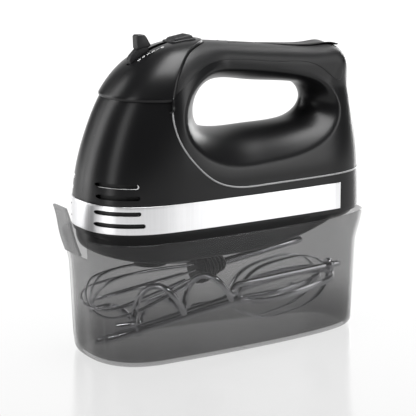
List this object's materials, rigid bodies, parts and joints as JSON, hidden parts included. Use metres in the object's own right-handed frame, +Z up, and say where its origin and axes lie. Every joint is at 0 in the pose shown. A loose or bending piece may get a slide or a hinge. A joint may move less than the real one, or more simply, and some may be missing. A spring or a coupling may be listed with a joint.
{
  "type": "hand mixer",
  "caption": "Electric hand mixer with looped handle, speed lever and eject button, standing on a clear storage case that holds a whisk, beaters and dough hooks.",
  "frame": {"origin": "on the floor under the middle of the storage case", "axes": "+X from the nose to the cord end, +Y across to the far side, +Z up"},
  "size_m": [0.2246, 0.0978, 0.2084],
  "materials": {
    "black_plastic": "polished",
    "soft_grip": "satin",
    "control_black": "satin",
    "brushed_steel": "brushed",
    "bright_steel": "polished",
    "case_plastic": "clear smoke",
    "hub_plastic": "satin",
    "copper": "wound copper",
    "lamination": "stacked sheet",
    "inner_plastic": "natural",
    "gear_plastic": "natural",
    "board_green": "lacquered",
    "carbon": "matt"
  },
  "bodies": {
    "case": {"storage_case": "case_plastic"},
    "latch": {"front_latch": "case_plastic"},
    "mixer": {"base_housing": "black_plastic", "trim_band": "brushed_steel", "motor_housing": "black_plastic", "head_cap": "black_plastic", "handle_frame": "black_plastic", "grip_cover": "soft_grip", "rear_cover": "black_plastic", "cord_inlet": "control_black", "motor_stator": "lamination", "field_coil_front": "copper", "field_coil_rear": "copper", "front_bearing": "inner_plastic", "rear_bearing": "inner_plastic", "brush_near": "carbon", "brush_far": "carbon", "gearbox_plate": "inner_plastic", "speed_switch": "inner_plastic", "control_board": "board_green", "ejector_guide": "inner_plastic", "spindle_bush_1": "control_black", "spindle_bush_2": "control_black", "housing_screw_1": "bright_steel", "housing_screw_2": "bright_steel", "housing_screw_3": "bright_steel", "housing_screw_4": "bright_steel"},
    "speed_lever": {"speed_lever": "control_black"},
    "switch_slider": {"switch_slider": "control_black"},
    "ejector": {"eject_button": "control_black", "ejector_rod": "inner_plastic", "ejector_fork": "inner_plastic", "eject_spring": "bright_steel"},
    "rotor": {"armature": "lamination", "commutator": "copper", "cooling_fan": "gear_plastic", "worm": "bright_steel"},
    "spindle_near": {"worm_wheel_1": "gear_plastic", "spindle_1": "bright_steel"},
    "spindle_far": {"worm_wheel_2": "gear_plastic", "spindle_2": "bright_steel"},
    "whisk": {"whisk_shaft": "bright_steel", "whisk_hub": "hub_plastic", "whisk_wire_1": "bright_steel", "whisk_wire_2": "bright_steel", "whisk_wire_3": "bright_steel", "whisk_wire_4": "bright_steel", "whisk_wire_5": "bright_steel"},
    "beater_near": {"beater_1_shaft": "bright_steel", "beater_1_loop_a": "bright_steel", "beater_1_loop_b": "bright_steel"},
    "beater_far": {"beater_2_shaft": "bright_steel", "beater_2_loop_a": "bright_steel", "beater_2_loop_b": "bright_steel"},
    "hook_near": {"dough_hook_1": "bright_steel", "hook_1_collar": "bright_steel"},
    "hook_far": {"dough_hook_2": "bright_steel", "hook_2_collar": "bright_steel"}
  },
  "joints": [
    {"name": "mixer_lift", "type": "slide", "parent": "case", "child": "mixer", "axis": [0, 0, 1], "range_m": [0, 0.25]},
    {"name": "latch_swing", "type": "hinge", "parent": "case", "child": "latch", "pos_m": [-0.1075, 0, 0.0716], "axis": [0, 1, 0], "range_deg": [-25, 0], "stiffness_Nm_per_rad": 0.3, "springref_deg": 5.73},
    {"name": "speed_lever_turn", "type": "hinge", "parent": "mixer", "child": "speed_lever", "pos_m": [-0.0324, 0, 0.1304], "axis": [0, 1, 0], "range_deg": [0, 10]},
    {"name": "switch_slide", "type": "slide", "parent": "mixer", "child": "switch_slider", "axis": [1, 0, 0], "range_m": [0, 0.0085]},
    {"name": "eject_press", "type": "slide", "parent": "mixer", "child": "ejector", "axis": [0, 0, -1], "range_m": [0, 0.004], "stiffness_N_per_m": 500, "springref_m": -0.003, "deforming": ["eject_spring"]},
    {"name": "rotor_spin", "type": "hinge", "parent": "mixer", "child": "rotor", "pos_m": [0, 0, 0.108], "axis": [1, 0, 0], "continuous": true},
    {"name": "spindle_near_spin", "type": "hinge", "parent": "mixer", "child": "spindle_near", "pos_m": [-0.062, -0.019, 0], "axis": [0, 0, 1], "continuous": true},
    {"name": "spindle_far_spin", "type": "hinge", "parent": "mixer", "child": "spindle_far", "pos_m": [-0.062, 0.019, 0], "axis": [0, 0, 1], "continuous": true},
    {"name": "whisk_lift", "type": "slide", "parent": "case", "child": "whisk", "axis": [0, 0, 1], "range_m": [0, 0.125]},
    {"name": "beater_near_lift", "type": "slide", "parent": "case", "child": "beater_near", "axis": [0, 0, 1], "range_m": [0, 0.125]},
    {"name": "beater_far_lift", "type": "slide", "parent": "case", "child": "beater_far", "axis": [0, 0, 1], "range_m": [0, 0.125]},
    {"name": "hook_near_lift", "type": "slide", "parent": "case", "child": "hook_near", "axis": [0, 0, 1], "range_m": [0, 0.125]},
    {"name": "hook_far_lift", "type": "slide", "parent": "case", "child": "hook_far", "axis": [0, 0, 1], "range_m": [0, 0.125]}
  ],
  "couplings": [
    {"joint": "switch_slide", "follows": "speed_lever_turn", "m_per_rad": 0.045},
    {"joint": "spindle_near_spin", "follows": "rotor_spin", "ratio": 0.05},
    {"joint": "spindle_far_spin", "follows": "rotor_spin", "ratio": -0.05},
    {"joint": "whisk_lift", "follows": "mixer_lift", "ratio": 0.5},
    {"joint": "beater_near_lift", "follows": "mixer_lift", "ratio": 0.5},
    {"joint": "beater_far_lift", "follows": "mixer_lift", "ratio": 0.5},
    {"joint": "hook_near_lift", "follows": "mixer_lift", "ratio": 0.5},
    {"joint": "hook_far_lift", "follows": "mixer_lift", "ratio": 0.5}
  ]
}
